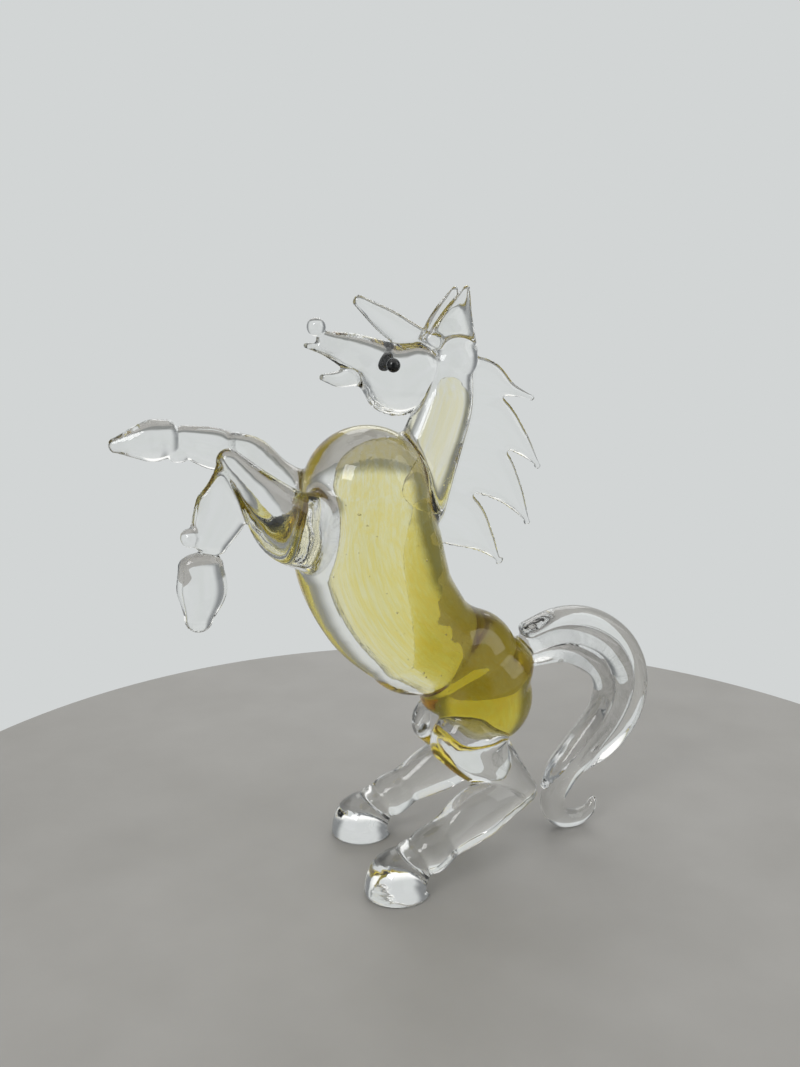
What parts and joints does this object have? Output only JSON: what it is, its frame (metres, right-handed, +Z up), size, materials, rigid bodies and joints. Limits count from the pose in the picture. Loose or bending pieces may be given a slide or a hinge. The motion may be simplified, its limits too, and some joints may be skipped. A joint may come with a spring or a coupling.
{
  "type": "glass horse figurine",
  "caption": "Flame-worked glass figurine of a rearing horse with an amber-cored body, clear head, legs, mane and tail, standing on its hind hooves and the curl of its tail.",
  "frame": {"origin": "middle of the figurine's box, on the surface that it stands on", "axes": "+Z up, -X the way the horse faces, -Y its left side"},
  "size_m": [0.1236, 0.0426, 0.1298],
  "materials": {
    "clear_glass": "fire-polished clear glass",
    "casing_glass": "fire-polished clear glass cased over a coloured core",
    "amber_glass": "streaky amber glass, fused inside the clear casing",
    "straw_glass": "pale straw-coloured glass, fused inside the clear casing",
    "black_glass": "glossy opaque black glass bead"
  },
  "bodies": {
    "root": {"barrel_casing": "casing_glass", "croup_casing": "casing_glass", "neck_casing": "casing_glass", "amber_core": "amber_glass", "neck_core": "straw_glass", "left_eye": "black_glass", "right_eye": "black_glass", "head": "clear_glass", "nose_bead": "clear_glass", "upper_lip": "clear_glass", "lower_jaw": "clear_glass", "poll_knob": "clear_glass", "left_ear": "clear_glass", "right_ear": "clear_glass", "forelock": "clear_glass", "mane_lock_top": "clear_glass", "mane_lock_upper": "clear_glass", "mane_lock_lower": "clear_glass", "mane_lock_bottom": "clear_glass", "left_forearm": "clear_glass", "left_fore_cannon": "clear_glass", "left_fore_hoof": "clear_glass", "left_fetlock_bead": "clear_glass", "right_forearm": "clear_glass", "right_fore_cannon": "clear_glass", "right_fore_hoof": "clear_glass", "right_fetlock_bead": "clear_glass", "left_thigh": "clear_glass", "left_hind_cannon": "clear_glass", "left_hind_hoof": "clear_glass", "left_pastern": "clear_glass", "right_thigh": "clear_glass", "right_hind_cannon": "clear_glass", "right_hind_hoof": "clear_glass", "right_pastern": "clear_glass", "tail_middle_strand": "clear_glass", "tail_outer_strand": "clear_glass", "tail_inner_strand": "clear_glass"}
  },
  "joints": []
}
